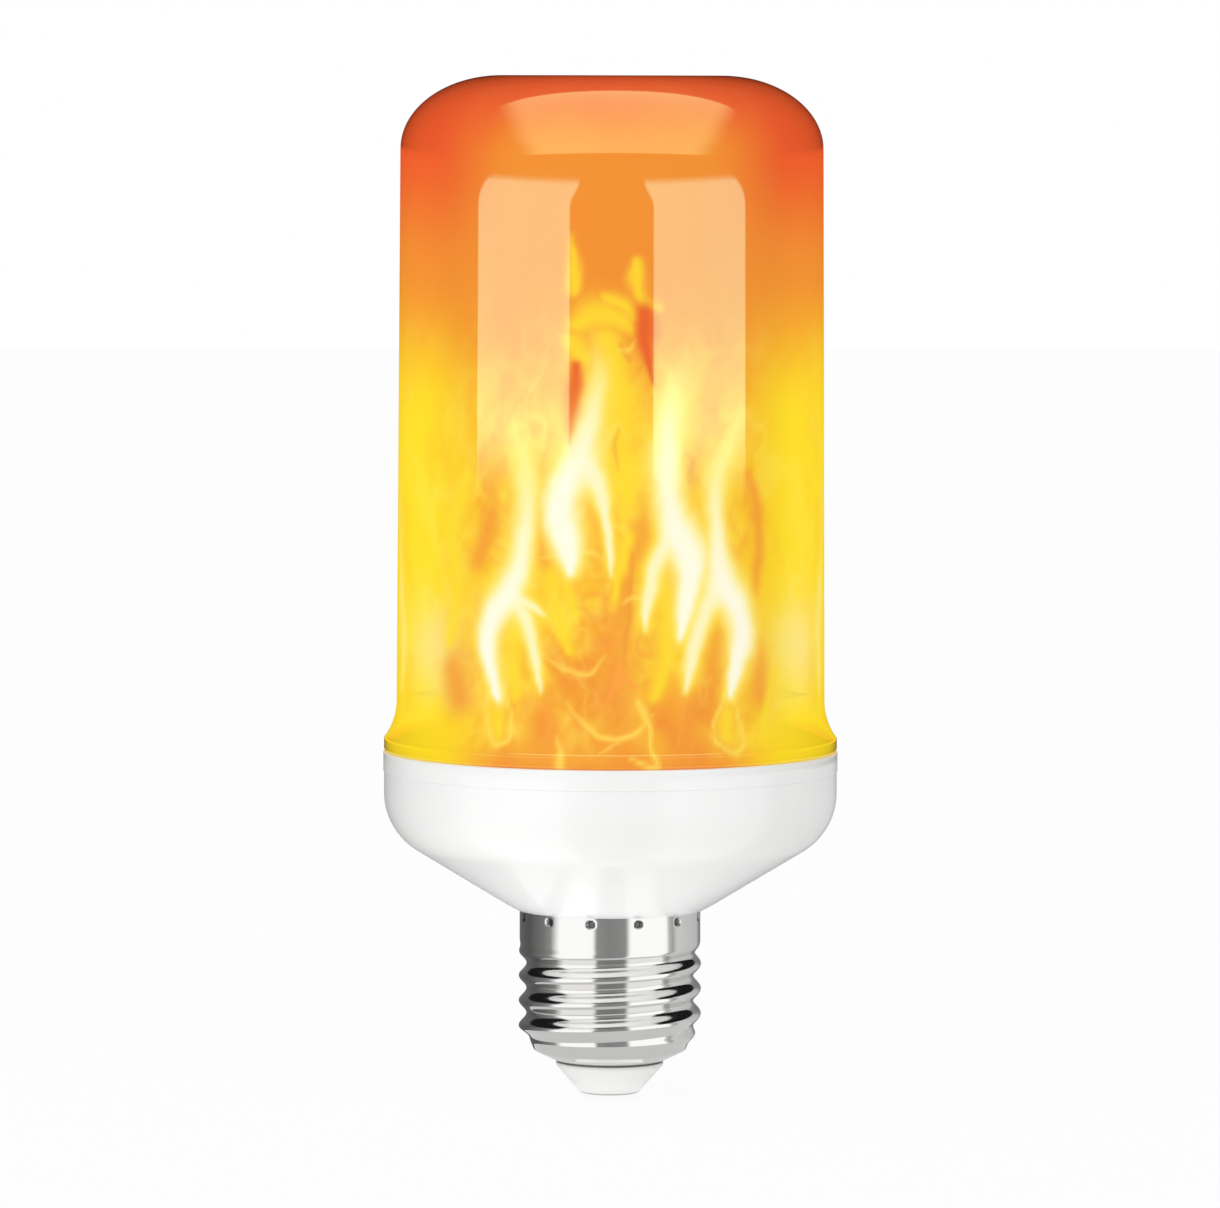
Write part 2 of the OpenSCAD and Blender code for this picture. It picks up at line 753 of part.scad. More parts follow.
module led_lead(x)
    translate([x, 0, board_top_z + seat])
    cylinder(r = lead_r, h = column_top_z - top_board_t - board_top_z - 2 * seat, $fn = 24);

module led_lead_positive()
    color([0.75, 0.1, 0.1])
    led_lead(led_lead_x);

module led_lead_negative()
    color([0.12, 0.12, 0.12])
    led_lead(-led_lead_x);

diffuser_cover();
base_housing();
screw_shell();
cap_insulator();
centre_contact();
carrier_deck();
deck_screws();
led_former();
led_sheet();
side_leds();
top_board();
top_leds();
driver_board();
filter_capacitor();
output_capacitor();
choke_core();
choke_winding();
fuse_resistor();
bridge_rectifier();
driver_chip();
flame_controller();
output_diode();
live_lead();
neutral_lead();
led_lead_positive();
led_lead_negative();
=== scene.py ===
"""Flame effect LED lamp: dressed model round the CAD frame, with the light and camera of the photograph."""
import json
import math

import bpy
import numpy as np
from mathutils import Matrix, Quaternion, Vector


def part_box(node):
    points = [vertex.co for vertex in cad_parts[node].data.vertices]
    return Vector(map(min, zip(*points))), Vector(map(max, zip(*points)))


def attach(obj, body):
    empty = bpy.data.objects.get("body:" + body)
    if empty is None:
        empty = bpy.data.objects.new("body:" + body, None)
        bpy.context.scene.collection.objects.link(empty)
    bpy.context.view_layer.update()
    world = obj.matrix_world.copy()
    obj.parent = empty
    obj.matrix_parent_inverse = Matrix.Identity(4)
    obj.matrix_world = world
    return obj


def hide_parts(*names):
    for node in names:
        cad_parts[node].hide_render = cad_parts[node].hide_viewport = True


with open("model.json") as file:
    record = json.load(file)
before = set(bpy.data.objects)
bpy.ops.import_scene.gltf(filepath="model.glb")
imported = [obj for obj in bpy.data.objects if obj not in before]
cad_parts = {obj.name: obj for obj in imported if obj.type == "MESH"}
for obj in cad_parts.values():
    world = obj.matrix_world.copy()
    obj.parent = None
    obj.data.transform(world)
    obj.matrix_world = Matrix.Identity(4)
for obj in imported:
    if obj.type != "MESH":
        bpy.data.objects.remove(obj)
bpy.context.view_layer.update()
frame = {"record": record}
MM = 0.001


# Helpers
def lin(c):
    """A colour in 0..255 display values, as linear values."""
    c = np.asarray(c, float) / 255
    return np.where(c <= 0.04045, c / 12.92, ((c + 0.055) / 1.055) ** 2.4)


def fade(t):
    t = np.clip(t, 0, 1)
    return t * t * (3 - 2 * t)


def material(name, color, rough=0.5, metal=0.0, coat=0.0, coat_rough=0.03, emit=None, strength=1.0):
    m = bpy.data.materials.new(name)
    m.use_nodes = True
    b = m.node_tree.nodes["Principled BSDF"]
    b.inputs["Base Color"].default_value = (*color, 1)
    b.inputs["Roughness"].default_value = rough
    b.inputs["Metallic"].default_value = metal
    b.inputs["Coat Weight"].default_value = coat
    b.inputs["Coat Roughness"].default_value = coat_rough
    if emit is not None:
        b.inputs["Emission Color"].default_value = (*emit, 1)
        b.inputs["Emission Strength"].default_value = strength
    return m


def mesh_object(name, points, faces, mat, crease=40):
    me = bpy.data.meshes.new(name)
    me.from_pydata([tuple(p) for p in points], [], faces)
    me.validate()
    me.polygons.foreach_set("use_smooth", [True] * len(me.polygons))
    me.set_sharp_from_angle(angle=math.radians(crease))
    o = bpy.data.objects.new(name, me)
    bpy.context.scene.collection.objects.link(o)
    me.materials.append(mat)
    return o


def ring_grid(rings):
    """Points and faces of a surface through closed rings of points, in order, outside on the left."""
    n = len(rings[0])
    points = np.concatenate(rings)
    faces = []
    for i in range(len(rings) - 1):
        a, b = i * n, (i + 1) * n
        faces += [(a + j, a + (j + 1) % n, b + (j + 1) % n, b + j) for j in range(n)]
    return points, faces


def lathe(name, profile, cols, mat, crease=40, extra=(), bunch=0.0):
    """A closed solid of revolution from an anticlockwise (r, z) outline in millimetres.

    r = 0 closes on the axis, and bunch sets the columns closer together at the front and the back.
    """
    ang = np.arange(cols) * 2 * np.pi / cols
    ang += bunch / 2 * np.sin(2 * ang)
    pts, faces, loops = [], [], []
    for r, z in profile:
        if r < 1e-6:
            loops.append([len(pts)])
            pts.append((0, 0, z * MM))
        else:
            loops.append(list(range(len(pts), len(pts) + cols)))
            pts += [(r * MM * math.cos(a), r * MM * math.sin(a), z * MM) for a in ang]
    closed = not (len(loops[0]) == 1 and len(loops[-1]) == 1)
    pairs = list(zip(loops, loops[1:])) + ([(loops[-1], loops[0])] if closed else [])
    for a, b in pairs:
        if len(a) == 1 and len(b) == 1:
            continue
        for j in range(cols):
            k = (j + 1) % cols
            if len(a) == 1:
                faces.append((a[0], b[k], b[j]))
            elif len(b) == 1:
                faces.append((a[j], a[k], b[0]))
            else:
                faces.append((a[j], a[k], b[k], b[j]))
    for cx, cy, rad, foot, top in extra:
        base, m = len(pts), 32
        for level in (foot, lambda r: top):
            for t in np.arange(m) * 2 * np.pi / m:
                x, y = cx + rad * math.cos(t), cy + rad * math.sin(t)
                pts.append((x * MM, y * MM, level(math.hypot(x, y)) * MM))
        faces += [(base + j, base + (j + 1) % m, base + m + (j + 1) % m, base + m + j) for j in range(m)]
        faces.append(tuple(range(base + m, base + 2 * m)))
        faces.append(tuple(range(base + m - 1, base - 1, -1)))
    return mesh_object(name, pts, faces, mat, crease)


def arc(cx, cz, rx, rz, a0, a1, n):
    return [
        (cx + rx * math.cos(math.radians(a)), cz + rz * math.sin(math.radians(a)))
        for a in np.linspace(a0, a1, n + 1)
    ]


def line(p, q, n):
    """Points after p up to q."""
    return [(p[0] + (q[0] - p[0]) * i / n, p[1] + (q[1] - p[1]) * i / n) for i in range(1, n + 1)]


def own(o, node):
    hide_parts(node)
    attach(o, "root")
    return o


# Sizes read from the frame, in millimetres
def span(node):
    """The lowest and highest z of a CAD node."""
    low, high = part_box(node)
    return low.z / MM, high.z / MM


LIP_Z, SHELL_TOP = span("screw_shell")
NECK_Z, RIM_Z = span("base_housing")
SPIGOT_Z, TOP_Z = span("diffuser_cover")
BOARD_Z, BOARD_TOP = span("driver_board")
HOUSING_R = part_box("base_housing")[1].x / MM
CONTACT_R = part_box("centre_contact")[1].x / MM
CONTACT_TOP = span("centre_contact")[1]
SEAT, FIT = 0.05, 0.15
COLLAR_H = 4.2
COLLAR_Z = SHELL_TOP - COLLAR_H
HOUSING_Z = SHELL_TOP + SEAT
COVER_Z = RIM_Z + FIT
LEDGE_Z = SPIGOT_Z - FIT - 1.6 - SEAT

# The camera: its distance and height, the height it aims at, and the picture's pixels per millimetre
CAM_D, CAM_Z, AIM_Z, PX = 1060.0, 146.0, 70.6, 6.95
PICTURE_W, PICTURE_H, AXIS_X, AIM_Y = 1220, 1208, 610.8, 607
LEAN = math.radians(0.15)
TILT = math.atan((CAM_Z - AIM_Z) / CAM_D)
FOCAL = PX * math.hypot(CAM_D, CAM_Z - AIM_Z)


def on_cover(px, py):
    """Turn about the axis (0 is the front) and height of the cover's wall behind a place in the picture."""
    turn = 0.0
    for _ in range(4):
        k = CAM_D / (CAM_D - WALL_R * math.cos(turn))
        turn = math.asin(max(-0.999, min(0.999, (px - AXIS_X) / PX / k / WALL_R)))
    t = (AIM_Y - py) / FOCAL
    reach = CAM_D - WALL_R * math.cos(turn)
    z = CAM_Z + reach * (t * math.cos(TILT) - math.sin(TILT)) / (math.cos(TILT) + t * math.sin(TILT))
    return turn, z


# The cover's outline
FLANGE_R = HOUSING_R - 0.1
FOOT_R, SHOULDER_R = FLANGE_R - 1.8, FLANGE_R - 2.3
WALL_R = (FOOT_R + SHOULDER_R) / 2
SHOULDER_W, SHOULDER_H = 14.5, 10.5
FLARE_H, FLARE_EDGE, FLARE_TIP = 7.1, 1.5, 0.5
COVER_WALL = 1.5
SPIGOT_R = HOUSING_R - 1.8 - FIT
SPIGOT_IN = SPIGOT_R - 1.3
BEAD, BEAD_Z = 0.3, SPIGOT_Z + 1.3


def cover_profile():
    """Outline of the cover, from the axis under its top, down the inside, and up the outside to the axis."""
    flare_z, shoulder_z = COVER_Z + FLARE_H, TOP_Z - SHOULDER_H
    reach = FLANGE_R - FLARE_TIP / 2 - FOOT_R
    rise = FLARE_H - FLARE_EDGE - FLARE_TIP * math.sin(math.radians(60))
    hollow = (reach * reach + rise * rise) / (2 * reach)
    sweep = math.degrees(math.asin(rise / hollow))
    edge = (FLANGE_R, COVER_Z + 0.25)
    inner = [(0, TOP_Z - COVER_WALL)]
    middle_r = SHOULDER_R - SHOULDER_W
    inner += arc(middle_r, shoulder_z, SHOULDER_W - COVER_WALL, SHOULDER_H - COVER_WALL, 90, 0, 8)
    inner += [(FOOT_R - COVER_WALL, flare_z), (SPIGOT_IN, COVER_Z + COVER_WALL), (SPIGOT_IN, SPIGOT_Z)]
    inner += [(SPIGOT_R - 0.3, SPIGOT_Z), (SPIGOT_R, SPIGOT_Z + 0.5), (SPIGOT_R, BEAD_Z - BEAD)]
    inner += [(SPIGOT_R + BEAD, BEAD_Z), (SPIGOT_R, BEAD_Z + BEAD), (SPIGOT_R, COVER_Z)]
    outer = [(FLANGE_R - 0.25, COVER_Z), edge] + line(edge, (FLANGE_R, COVER_Z + FLARE_EDGE), 2)
    outer += arc(FLANGE_R - FLARE_TIP, COVER_Z + FLARE_EDGE, FLARE_TIP, FLARE_TIP, 0, 60, 4)[1:]
    outer += arc(FOOT_R + hollow, flare_z, hollow, hollow, 180 + sweep, 180, 18)[1:]
    fine_z = flare_z + 0.87 * (shoulder_z - flare_z)
    fine = (FOOT_R + 0.87 * (SHOULDER_R - FOOT_R), fine_z)
    outer += line((FOOT_R, flare_z), fine, 194)
    outer += line(fine, (SHOULDER_R, shoulder_z), 16)[1:]
    outer += arc(middle_r, shoulder_z, SHOULDER_W, SHOULDER_H, 0, 90, 30)[1:]
    outer += line((middle_r, TOP_Z), (0, TOP_Z), 7)
    return inner + outer


# The flame that shows on the cover. Colours are display values.
RED, ORANGE, AMBER, YELLOW = (237, 88, 38), (240, 141, 46), (248, 178, 50), (254, 220, 34)
PALE, CREAM, WHITE = (255, 236, 118), (252, 230, 158), (255, 250, 226)
EMBER, FOOT_COLOUR = (243, 150, 52), (254, 218, 26)
# Tongues of flame by their centre line and half width, as places in the picture
TONGUES = [
    [(508, 396, 2), (516, 432, 6), (527, 466, 9), (531, 500, 9), (525, 535, 9), (518, 567, 10),
     (505, 595, 12),
     (494, 612, 12), (488, 636, 9), (493, 662, 8), (499, 683, 5), (501, 704, 1)],
    [(585, 318, 1), (590, 345, 5), (596, 374, 8), (593, 403, 9), (587, 438, 11), (577, 466, 14),
     (562, 490, 13),
     (559, 512, 11), (565, 540, 9), (572, 574, 2)],
    [(692, 326, 2), (683, 358, 9), (673, 400, 12), (664, 445, 12), (664, 478, 11), (669, 508, 11),
     (680, 538, 13), (691, 562, 13), (690, 586, 9), (685, 612, 7), (680, 642, 1)],
    [(742, 392, 2), (731, 432, 7), (716, 471, 9), (712, 504, 8), (714, 536, 8), (716, 562, 10),
     (722, 588, 13),
     (738, 612, 12), (742, 636, 11), (736, 662, 8), (730, 698, 1)],
]
# Their side branches
BRANCHES = [
    [(508, 590, 7), (524, 612, 7), (531, 635, 6), (538, 662, 4), (543, 694, 1)],
    [(516, 596, 5), (527, 601, 4), (545, 615, 1)],
    [(588, 462, 8), (597, 482, 7), (603, 515, 5), (606, 542, 4), (610, 578, 1)],
    [(674, 536, 8), (657, 563, 7), (652, 588, 6), (647, 606, 4), (641, 634, 1)],
    [(718, 584, 9), (706, 612, 7), (698, 632, 6), (692, 656, 5), (685, 694, 1)],
]
# Yellow licks above, between and under the tongues
LICKS = [
    [(634, 262, 2), (633, 282, 5), (639, 300, 4), (656, 307, 2)],
    [(576, 326, 8), (588, 316, 15), (606, 316, 17), (622, 322, 11), (634, 330, 3)],
    [(604, 300, 5), (622, 304, 7), (633, 318, 3)],
    [(572, 236, 1), (574, 262, 3), (574, 292, 4)],
    [(600, 340, 14), (612, 362, 16), (618, 392, 17), (620, 430, 20), (622, 466, 18), (626, 500, 12)],
    [(572, 342, 8), (580, 360, 6)],
    [(553, 577, 7), (558, 606, 8), (566, 630, 6), (572, 652, 2)],
    [(568, 586, 4), (576, 604, 4), (580, 620, 1)],
    [(627, 540, 4), (621, 559, 4), (614, 589, 3), (612, 612, 1)],
    [(652, 562, 3), (664, 590, 8), (668, 640, 11), (662, 672, 11), (653, 696, 5)],
    [(520, 610, 6), (514, 640, 9), (516, 668, 8), (519, 694, 4)],
    [(500, 715, 6), (500, 735, 6)],
    [(725, 715, 6), (724, 735, 6)],
    [(468, 470, 3), (455, 520, 5), (462, 580, 3), (450, 640, 5)],
    [(776, 668, 2), (768, 700, 4), (760, 735, 4)],
]
# Fine lines
THREADS = [
    [(536, 650, 1), (556, 662, 1.6), (574, 674, 2), (586, 677, 2), (598, 668, 1.6), (606, 657, 1)],
    [(566, 704, 1), (577, 724, 1.6), (592, 737, 2.2), (609, 742, 2.4), (627, 739, 2.2),
     (645, 726, 1.6), (653, 714, 1)],
    [(638, 702, 2), (645, 714, 4), (652, 726, 2.6), (651, 742, 2), (653, 753, 2.2), (656, 766, 2.4)],
    [(631, 758, 1.6), (642, 763, 2.4), (651, 765, 2.4)],
    [(558, 738, 1.4), (562, 752, 2), (564, 768, 2.4)],
    [(493, 694, 2), (487, 715, 2), (489, 736, 2), (498, 748, 2), (514, 740, 2), (514, 715, 2),
     (507, 694, 2)],
    [(724, 694, 2), (715, 716, 2), (710, 740, 2), (724, 753, 2), (741, 744, 2), (737, 716, 2),
     (733, 694, 2)],
    [(598, 756, 1), (612, 746, 1.6), (636, 734, 1)],
    [(621, 607, 1), (633, 600, 2), (646, 602, 1.6)],
    [(545, 557, 1), (566, 554, 1.8), (586, 552, 1.8), (602, 560, 1)],
    [(612, 350, 1), (628, 352, 2), (636, 340, 1)],
    [(628, 440, 1), (618, 420, 1.6), (606, 440, 1.6), (604, 470, 1)],
    [(556, 632, 1), (548, 612, 1.5), (556, 592, 1)],
]
# Redder gaps beside the tongues, deeper orange ones between their feet, and fine veins in those
GAPS = [
    [(645, 312, 9), (646, 335, 9), (649, 358, 5), (653, 385, 1)],
    [(574, 366, 3), (574, 395, 8), (574, 420, 7), (571, 444, 1)],
]
HOLLOWS = [
    [(584, 506, 3), (594, 524, 6), (599, 556, 4)],
    [(668, 570, 4), (664, 592, 7), (656, 616, 4)],
    [(522, 646, 4), (526, 672, 4)],
    [(716, 640, 6), (708, 672, 8)],
    [(622, 590, 10), (614, 640, 18), (610, 690, 24), (618, 745, 30)],
    [(548, 690, 10), (545, 745, 20)],
    [(690, 700, 12), (688, 745, 16)],
    [(455, 670, 14), (462, 700, 14)],
    [(493, 515, 8), (478, 560, 6)],
    [(686, 462, 5), (690, 480, 5)],
    [(746, 474, 2), (756, 500, 4), (760, 545, 4), (754, 590, 2)],
    [(600, 352, 3), (618, 350, 4)],
    [(560, 480, 3), (548, 520, 6), (546, 560, 5)],
    [(640, 500, 4), (646, 526, 6), (634, 566, 6)],
    [(735, 640, 3), (757, 640, 8), (760, 690, 10)],
]
VEINS = [
    [(621, 660, 2), (619, 682, 3), (606, 700, 2)],
    [(619, 680, 2), (632, 690, 2)],
    [(594, 640, 1), (606, 652, 2), (622, 640, 1)],
    [(540, 700, 1), (552, 716, 2), (548, 736, 1)],
    [(676, 690, 1), (684, 716, 2), (678, 742, 1)],
]
DARK_LINES = [
    [(632, 556, 1), (630, 590, 2), (624, 640, 2), (624, 668, 1)],
    [(686, 452, 1), (695, 462, 2), (685, 478, 2), (690, 492, 1)],
    [(620, 428, 1), (612, 446, 1.6), (618, 470, 1)],
    [(616, 346, 2), (628, 360, 2)],
]


def soften(path):
    """The same stroke with its corners cut twice."""
    for _ in range(2):
        inner = []
        for p, q in zip(path, path[1:]):
            inner.append(tuple(0.75 * a + 0.25 * b for a, b in zip(p, q)))
            inner.append(tuple(0.25 * a + 0.75 * b for a, b in zip(p, q)))
        path = [path[0]] + inner + [path[-1]]
    return path


def depth(s, z, strokes, flip, grow, late=0.0):
    """How deep each place lies in strokes made wider by some millimetres: 1 on a centre line, 0 far away.

    A stroke fades where its half width is under 0.3 mm. A late one comes up over that share of its length.
    """
    best = np.zeros_like(s)
    for points in strokes:
        path = []
        for x, y, half in soften(points):
            turn, height = on_cover(x, y)
            path.append((turn * WALL_R * flip, height, half / PX))
        top, length = path[0][1], path[0][1] - path[-1][1]
        for (s0, z0, w0), (s1, z1, w1) in zip(path, path[1:]):
            reach = 3 * (max(w0, w1) + grow)
            near = (np.abs(s - (s0 + s1) / 2) < reach + 2) & (np.abs(z - (z0 + z1) / 2) < reach + 4)
            ds, dz = s1 - s0, z1 - z0
            t = np.clip(((s[near] - s0) * ds + (z[near] - z0) * dz) / (ds * ds + dz * dz), 0, 1)
            d = np.hypot(s[near] - s0 - t * ds, z[near] - z0 - t * dz)
            w = w0 + (w1 - w0) * t
            here = np.exp(-((d / (w + grow)) ** 2)) * np.clip(w / 0.3, 0, 1)
            if late:
                here *= fade((top - z[near]) / (late * length))
            best[near] = np.maximum(best[near], here)
    return best


def ripple(turn, z, seed, scale):
    """A smooth wandering value about 0, the same after a full turn."""
    total = np.zeros_like(z)
    rng = np.random.default_rng(seed)
    for octave in range(4):
        for _ in range(5):
            n = int(rng.integers(2, 6) * scale * 2**octave)
            k = rng.uniform(-1, 1) * 0.09 * scale * 2**octave
            total += np.sin(n * turn + k * z * 1.4 + rng.uniform(0, 6.28)) * 0.62**octave
    return total / 5


def mix(rgb, colour, amount):
    a = np.clip(amount, 0, 1)[:, None]
    return rgb * (1 - a) + np.array(colour, float) * a


def climb(z, low, high):
    """0 below one height and 1 above another."""
    return fade((z - low) / (high - low))


def side_colour(z):
    """The colour of the cover's glow away from the flames, red at the top and yellow below."""
    rgb = mix(np.tile(np.array(YELLOW, float), (z.size, 1)), ORANGE, climb(z.ravel(), 98, 121))
    return mix(rgb, RED, climb(z.ravel(), 119, 138))


def flame_colours(turn, z):
    """Display colours of the lit cover, from its turn about the axis (0 is the front) and height."""
    wander = ripple(turn, z, 5, 1.0)
    zw = z + 1.5 * wander
    near = np.abs((turn + np.pi / 2) % np.pi - np.pi / 2)
    centre = 1 - fade((near - math.radians(26)) / math.radians(30))
    mid = mix(np.tile(np.array(AMBER, float), (len(z), 1)), ORANGE, climb(zw, 92, 114))
    mid = mix(mid, EMBER, 1 - climb(zw, 54, 78))
    mid = mix(mid, RED, climb(zw, 136, 146.5))
    rgb = side_colour(zw) * (1 - centre[:, None]) + mid * centre[:, None]

    # Soft turbulence in the lower two thirds
    wob = ripple(turn, z, 11, 2.2)
    low = climb(z, 49, 55) * (1 - climb(z, 88, 122))
    warp = turn + 0.05 * ripple(turn, z * 0.8, 41, 1.6)
    wisp = np.clip(1 - np.abs(ripple(warp, z, 23, 1.3)) * 1.7, 0, 1)
    rgb = mix(rgb, YELLOW, 0.65 * wisp * low * centre * (1 - 0.6 * climb(z, 80, 96)))
    rgb = mix(rgb, PALE, 0.28 * wisp**3 * low)
    curl = turn + 0.09 * ripple(turn, z, 43, 1.4)
    bright = np.clip(1 - np.abs(ripple(curl, z + 2 * wander, 57, 2.2)) * 4.5, 0, 1)
    rgb = mix(rgb, (255, 228, 100), 0.45 * bright * low * (0.3 + 0.7 * centre))
    dim = np.clip(1 - np.abs(ripple(curl, z - 2 * wander, 61, 2.0)) * 5, 0, 1)
    rgb = mix(rgb, (240, 140, 48), 0.42 * dim * low * centre)
    dark = np.clip(ripple(warp, z, 31, 1.8) * 1.5 - 0.25, 0, 1)
    rgb = mix(rgb, EMBER, 0.7 * dark * low * (0.2 + 0.8 * centre))

    # Pale patches at the sides, and the yellow foot
    for spot, amount in ((-56, 0.7), (61, 0.8), (125, 0.7), (-125, 0.7)):
        away = (turn - math.radians(spot) + np.pi) % (2 * np.pi) - np.pi
        patch = np.exp(-((away * WALL_R / 8) ** 2) - ((z - 65.5 - 1.5 * wander) / 7) ** 2)
        rgb = mix(rgb, CREAM, amount * patch)
    rgb = mix(rgb, FOOT_COLOUR, (1 - climb(zw, 52, 60)) * (1 - centre))

    # The tongues, on the front and the back, and fainter between them
    for middle, flip, gain in CLUSTERS:
        local = (turn - middle + np.pi) % (2 * np.pi) - np.pi
        here = np.abs(local) < 1.2
        sh, zh = (local * WALL_R + 0.75 * wob)[here], (z + 0.6 * wander)[here]
        part = rgb[here]
        for strokes, colour, amount, grow, late in LAYERS:
            part = mix(part, colour, amount * gain * depth(sh, zh, strokes, flip, grow, late))
        rgb[here] = part
    return rgb


# Where the tongues stand round the cover: their turn, their spread (minus is mirrored) and their strength
CLUSTERS = [(0, 1, 1.0), (math.pi, -1, 1.0), (math.pi / 2, 0.45, 0.2), (-math.pi / 2, -0.45, 0.2)]
# What is laid over the cover's glow colours, lowest first: strokes, colour, amount, growth in mm, lateness
LAYERS = [
    (HOLLOWS, EMBER, 0.75, 0.6, 0),
    (VEINS, (253, 160, 66), 0.8, 0.12, 0),
    (LICKS, (253, 220, 46), 0.85, 0.4, 0),
    (TONGUES, (253, 211, 48), 0.8, 2.0, 0.3),
    (BRANCHES, (253, 216, 52), 0.8, 1.4, 0),
    (GAPS, (232, 96, 40), 1.0, 0.1, 0),
    (DARK_LINES, (236, 150, 50), 0.7, 0.1, 0),
    (THREADS, (255, 220, 90), 0.8, 0.1, 0),
    (TONGUES, PALE, 1.0, 0.9, 0.5),
    (BRANCHES, PALE, 1.0, 0.35, 0),
    (TONGUES, (254, 243, 176), 1.15, 0.3, 0.75),
    (BRANCHES, (255, 244, 190), 1.1, 0.05, 0),
    (TONGUES, WHITE, 1.35, 0.0, 1.0),
]


def attribute_colour(mat, name, socket):
    node = mat.node_tree.nodes.new("ShaderNodeAttribute")
    node.attribute_name = name
    mat.node_tree.links.new(node.outputs["Color"], mat.node_tree.nodes["Principled BSDF"].inputs[socket])


def make_cover():
    mat = material("cover", (0.9, 0.5, 0.1), rough=0.45, coat=1.0, coat_rough=0.015)
    attribute_colour(mat, "glow", "Emission Color")
    # Painted light: the base colour is the flame's glow again at a smaller share, so the flame pattern shows
    # in the diffuse colour under any lamp
    attribute_colour(mat, "body", "Base Color")
    bsdf = mat.node_tree.nodes["Principled BSDF"]
    bsdf.inputs["Emission Strength"].default_value = GLOW
    bsdf.inputs["Coat IOR"].default_value = 1.7
    bsdf.inputs["Specular IOR Level"].default_value = 0.1
    cover = lathe("cover_shell", cover_profile(), 328, mat, crease=50, bunch=0.45)
    co = np.empty(len(cover.data.vertices) * 3)
    cover.data.vertices.foreach_get("co", co)
    co = co.reshape(-1, 3) / MM
    rgb = flame_colours(np.arctan2(co[:, 0], -co[:, 1]), co[:, 2])
    # The glow goes to the emission, and the same glow, scaled down, is painted into the base colour
    for name, share in (("glow", 1.0), ("body", PAINTED_GLOW_SHARE)):
        attr = cover.data.color_attributes.new(name, "FLOAT_COLOR", "POINT")
        attr.data.foreach_set("color", np.concatenate([lin(rgb) * share, np.ones((len(rgb), 1))], 1).ravel())
    own(cover, "diffuser_cover")


# How much of the cover's light is emission, and what share of that same glow is painted into its base colour
# as well (painted light)
GLOW, PAINTED_GLOW_SHARE = 0.73, 0.34
make_cover()

# The housing
SLOPE = 31.4
HOUSING_FOOT_R, HOUSING_WALL, CORNER_R, BAND_H, BAND_STEP = 13.7, 1.8, 9.5, 2.9, 0.1
SIDE_R = HOUSING_R - BAND_STEP
RIM_IN_R = HOUSING_R - HOUSING_WALL
LEDGE_R = RIM_IN_R - 1
FLOOR_RISE = HOUSING_WALL / math.cos(math.radians(SLOPE))
NECK_R, NECK_LOW_R, NECK_IN_R = 12.66, 11.57, 10.0
DECK_POST_RING = LEDGE_R - 5.8
BOARD_POST_RING = DECK_POST_RING - 7


def floor_z(r, rise=0.0):
    return HOUSING_Z + rise + (r - HOUSING_FOOT_R) * math.tan(math.radians(SLOPE))


def mid_floor(r):
    return floor_z(r, FLOOR_RISE / 2)


def corner(side, rise, radius, a0, a1, n):
    tangent = radius * math.tan(math.radians(90 - SLOPE) / 2)
    return arc(side - radius, floor_z(side, rise) + tangent, radius, radius, a0, a1, n)


def make_housing():
    mat = material("housing", HOUSING_COLOUR, rough=0.32, coat=0.5, coat_rough=0.08)
    band_z, step_z = RIM_Z - BAND_H, COLLAR_Z - 0.4
    h = [(NECK_LOW_R - 0.4, NECK_Z), (NECK_LOW_R, NECK_Z + 0.4), (NECK_LOW_R, step_z)]
    h += [(NECK_R, step_z + 1.2), (NECK_R, HOUSING_Z), (HOUSING_FOOT_R - 0.3, HOUSING_Z)]
    h += [(HOUSING_FOOT_R - 0.08, HOUSING_Z + 0.05)]
    cone_start, cone_end = HOUSING_FOOT_R + 0.2, 27.2
    h += line((cone_start, floor_z(cone_start)), (cone_end, floor_z(cone_end)), 12)
    h += corner(SIDE_R, 0, CORNER_R, SLOPE - 90, 0, 30)
    h += [(SIDE_R, band_z - BAND_STEP), (HOUSING_R, band_z)]
    h += line((HOUSING_R, band_z), (HOUSING_R, RIM_Z - 0.3), 3)
    h += arc(HOUSING_R - 0.3, RIM_Z - 0.3, 0.3, 0.3, 0, 90, 5)[1:]
    h += [(RIM_IN_R, RIM_Z), (RIM_IN_R, BEAD_Z + BEAD + FIT), (RIM_IN_R + BEAD, BEAD_Z)]
    h += [(RIM_IN_R, BEAD_Z - BEAD - FIT), (RIM_IN_R, LEDGE_Z), (LEDGE_R, LEDGE_Z)]
    h += corner(LEDGE_R, FLOOR_RISE, CORNER_R - HOUSING_WALL, 0, SLOPE - 90, 8)
    h += [(NECK_IN_R, floor_z(NECK_IN_R, FLOOR_RISE)), (NECK_IN_R, NECK_Z)]
    posts = []
    for k in range(3):
        a, b = math.radians(60 + 120 * k), math.radians(120 * k)
        posts.append((DECK_POST_RING * math.cos(a), DECK_POST_RING * math.sin(a), 3, mid_floor, LEDGE_Z))
        x, y = BOARD_POST_RING * math.cos(b), BOARD_POST_RING * math.sin(b)
        posts.append((x, y, 2.2, mid_floor, BOARD_Z - SEAT))
        posts.append((x, y, 0.9, mid_floor, BOARD_TOP + 0.8))
    housing = lathe("housing_body", h, 256, mat, crease=28, extra=posts)
    own(housing, "base_housing")


HOUSING_COLOUR = (0.86, 0.86, 0.86)
make_housing()

# The screw shell, with its rolled thread and punch marks
PITCH, CREST, DEPTH, COLLAR_R, WALL = 3.629, 13.15, 1.1, 13.05, 0.33
ROOT = CREST - DEPTH
CONE_R, CONE_RISE, HOLE_R = 11, 1.75, 7.45
MARKS, MARK_R, MARK_DEPTH, MARK_UP, MARK_PHASE = 12, 0.75, 0.4, 3.3, 18
# The plating, and how dark the punch marks are painted: painted shade in their dents
NICKEL, MARK_SHADE = (0.8, 0.795, 0.785), 0.16


